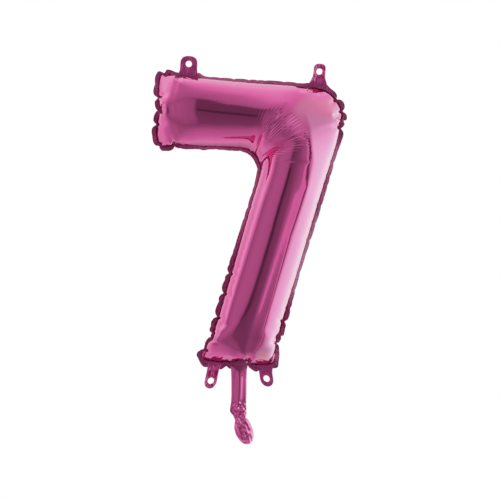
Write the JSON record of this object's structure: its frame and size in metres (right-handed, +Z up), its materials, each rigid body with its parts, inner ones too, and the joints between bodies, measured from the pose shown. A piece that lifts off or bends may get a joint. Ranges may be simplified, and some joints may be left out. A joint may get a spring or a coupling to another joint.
{
  "type": "foil number balloon",
  "caption": "Air-filled foil balloon shaped as the digit seven, with a sealed flange, punched hanging tabs and a folded filling neck.",
  "frame": {"origin": "midway between the centres of the holes in the two top tabs, on the plane where the two foils meet", "axes": "+Z up, +X to the reader's right, front face towards -Y, with the two top holes level"},
  "size_m": [0.2294, 0.094, 0.4604],
  "materials": {
    "swollen_foil": "metallised film, magenta mirror gloss, drawn tight by air with puckers along the seam",
    "sealed_foil": "two plies heat-sealed flat, with a fine knurled seal pattern",
    "neck_foil": "unsealed metallised film, crinkled",
    "valve_film": "clear thin polyethylene film"
  },
  "bodies": {
    "envelope": {"front_foil": "swollen_foil", "back_foil": "swollen_foil", "valve_front_film": "valve_film", "valve_back_film": "valve_film"},
    "tab_top_left": {"tab_top_left_front_ply": "sealed_foil", "tab_top_left_back_ply": "sealed_foil"},
    "tab_top_right": {"tab_top_right_front_ply": "sealed_foil", "tab_top_right_back_ply": "sealed_foil"},
    "tab_bottom_left": {"tab_bottom_left_front_ply": "sealed_foil", "tab_bottom_left_back_ply": "sealed_foil"},
    "tab_bottom_right": {"tab_bottom_right_front_ply": "sealed_foil", "tab_bottom_right_back_ply": "sealed_foil"},
    "neck": {"neck_front_foil": "neck_foil", "neck_back_foil": "neck_foil"},
    "neck_end": {"neck_end_front_foil": "neck_foil", "neck_end_back_foil": "neck_foil"}
  },
  "joints": [
    {"name": "tab_top_left_fold", "type": "hinge", "parent": "envelope", "child": "tab_top_left", "pos_m": [-0.0784, 0, -0.0122], "axis": [1, 0, 0], "range_deg": [-90, 90]},
    {"name": "tab_top_right_fold", "type": "hinge", "parent": "envelope", "child": "tab_top_right", "pos_m": [0.0784, 0, -0.0143], "axis": [1, 0, 0], "range_deg": [-90, 90]},
    {"name": "tab_bottom_left_fold", "type": "hinge", "parent": "envelope", "child": "tab_bottom_left", "pos_m": [-0.0297, 0, -0.358], "axis": [1, 0, 0], "range_deg": [-90, 90]},
    {"name": "tab_bottom_right_fold", "type": "hinge", "parent": "envelope", "child": "tab_bottom_right", "pos_m": [0.037, 0, -0.358], "axis": [1, 0, 0], "range_deg": [-90, 90]},
    {"name": "neck_swing", "type": "hinge", "parent": "envelope", "child": "neck", "pos_m": [0.0028, 0, -0.358], "axis": [1, 0, 0], "range_deg": [-85, 85], "deforming": ["valve_front_film", "valve_back_film"]},
    {"name": "neck_end_fold", "type": "hinge", "parent": "neck", "child": "neck_end", "pos_m": [0.00565, 0, -0.406], "axis": [1, 0, 0], "range_deg": [-100, 100]}
  ]
}
